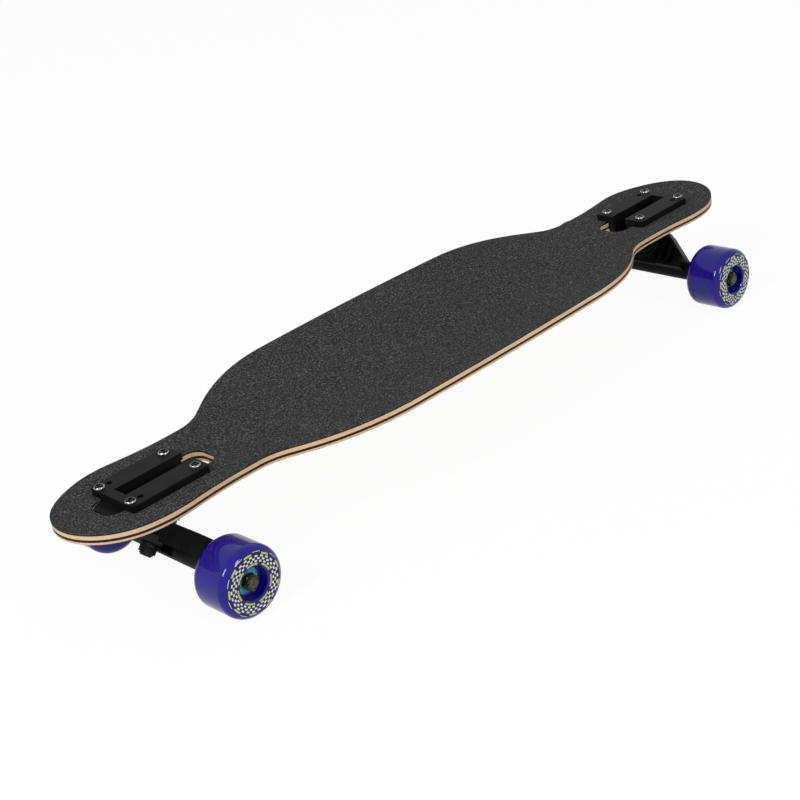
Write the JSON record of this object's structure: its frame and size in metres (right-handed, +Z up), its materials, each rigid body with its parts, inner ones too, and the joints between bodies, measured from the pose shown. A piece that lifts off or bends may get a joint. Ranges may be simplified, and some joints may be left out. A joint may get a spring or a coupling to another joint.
{
  "type": "longboard skateboard",
  "caption": "Longboard skateboard with a concave laminated deck, steering trucks dropped through slots in its ends, and urethane wheels on ball bearings.",
  "frame": {"origin": "on the ground under the middle of the board", "axes": "+X along the board to its front end, +Y across it to the rider's left, +Z up"},
  "size_m": [0.806, 0.218, 0.0961],
  "materials": {
    "grip_tape": "black abrasive grit",
    "maple": "clear sealed maple veneer",
    "dyed_maple": "dark brown dyed maple veneer",
    "black_casting": "satin black powder coat on cast aluminium",
    "black_plastic": "moulded",
    "black_steel": "black oxide",
    "steel": "zinc plated",
    "plated_nut": "yellow zinc plated",
    "bushing_urethane": "satin urethane",
    "wheel_urethane": "gloss blue-violet urethane",
    "bearing_seal": "teal rubber"
  },
  "bodies": {
    "deck": {"grip_tape": "grip_tape", "deck_ply_1": "dyed_maple", "deck_ply_2": "maple", "deck_ply_3": "maple", "deck_ply_4": "maple", "deck_ply_5": "dyed_maple", "deck_ply_6": "dyed_maple", "deck_ply_7": "maple", "deck_ply_8": "maple", "front_baseplate": "black_casting", "front_pivot_cup": "black_plastic", "front_kingpin": "black_steel", "front_kingpin_nut": "black_steel", "front_boardside_washer": "steel", "front_boardside_bushing": "bushing_urethane", "front_roadside_bushing": "bushing_urethane", "front_roadside_washer": "steel", "front_mounting_bolts": "steel", "front_mounting_nuts": "steel", "rear_baseplate": "black_casting", "rear_pivot_cup": "black_plastic", "rear_kingpin": "black_steel", "rear_kingpin_nut": "black_steel", "rear_boardside_washer": "steel", "rear_boardside_bushing": "bushing_urethane", "rear_roadside_bushing": "bushing_urethane", "rear_roadside_washer": "steel", "rear_mounting_bolts": "steel", "rear_mounting_nuts": "steel"},
    "front_hanger": {"front_hanger": "black_casting", "front_axle": "steel", "front_axle_nuts": "plated_nut", "front_speed_rings": "steel", "front_bearing_inner_rings": "steel", "front_bearing_spacers": "steel"},
    "front_left_wheel": {"front_left_wheel": "wheel_urethane", "front_left_bearing_outer_rings": "steel", "front_left_bearing_balls": "steel", "front_left_bearing_seals": "bearing_seal"},
    "front_right_wheel": {"front_right_wheel": "wheel_urethane", "front_right_bearing_outer_rings": "steel", "front_right_bearing_balls": "steel", "front_right_bearing_seals": "bearing_seal"},
    "rear_hanger": {"rear_hanger": "black_casting", "rear_axle": "steel", "rear_axle_nuts": "plated_nut", "rear_speed_rings": "steel", "rear_bearing_inner_rings": "steel", "rear_bearing_spacers": "steel"},
    "rear_left_wheel": {"rear_left_wheel": "wheel_urethane", "rear_left_bearing_outer_rings": "steel", "rear_left_bearing_balls": "steel", "rear_left_bearing_seals": "bearing_seal"},
    "rear_right_wheel": {"rear_right_wheel": "wheel_urethane", "rear_right_bearing_outer_rings": "steel", "rear_right_bearing_balls": "steel", "rear_right_bearing_seals": "bearing_seal"}
  },
  "joints": [
    {"name": "front_steer", "type": "hinge", "parent": "deck", "child": "front_hanger", "pos_m": [0.3213, 0, 0.048], "axis": [0.7071, 0, 0.7071], "range_deg": [-20, 20], "stiffness_Nm_per_rad": 40, "deforming": ["front_boardside_bushing", "front_roadside_bushing"]},
    {"name": "front_left_wheel_spin", "type": "hinge", "parent": "front_hanger", "child": "front_left_wheel", "pos_m": [0.3164, 0.089, 0.03], "axis": [0, 1, 0], "continuous": true},
    {"name": "front_right_wheel_spin", "type": "hinge", "parent": "front_hanger", "child": "front_right_wheel", "pos_m": [0.3164, -0.089, 0.03], "axis": [0, 1, 0], "continuous": true},
    {"name": "rear_steer", "type": "hinge", "parent": "deck", "child": "rear_hanger", "pos_m": [-0.3213, 0, 0.048], "axis": [-0.7071, 0, 0.7071], "range_deg": [-20, 20], "stiffness_Nm_per_rad": 40, "deforming": ["rear_boardside_bushing", "rear_roadside_bushing"]},
    {"name": "rear_left_wheel_spin", "type": "hinge", "parent": "rear_hanger", "child": "rear_left_wheel", "pos_m": [-0.3164, 0.089, 0.03], "axis": [0, 1, 0], "continuous": true},
    {"name": "rear_right_wheel_spin", "type": "hinge", "parent": "rear_hanger", "child": "rear_right_wheel", "pos_m": [-0.3164, -0.089, 0.03], "axis": [0, 1, 0], "continuous": true}
  ]
}
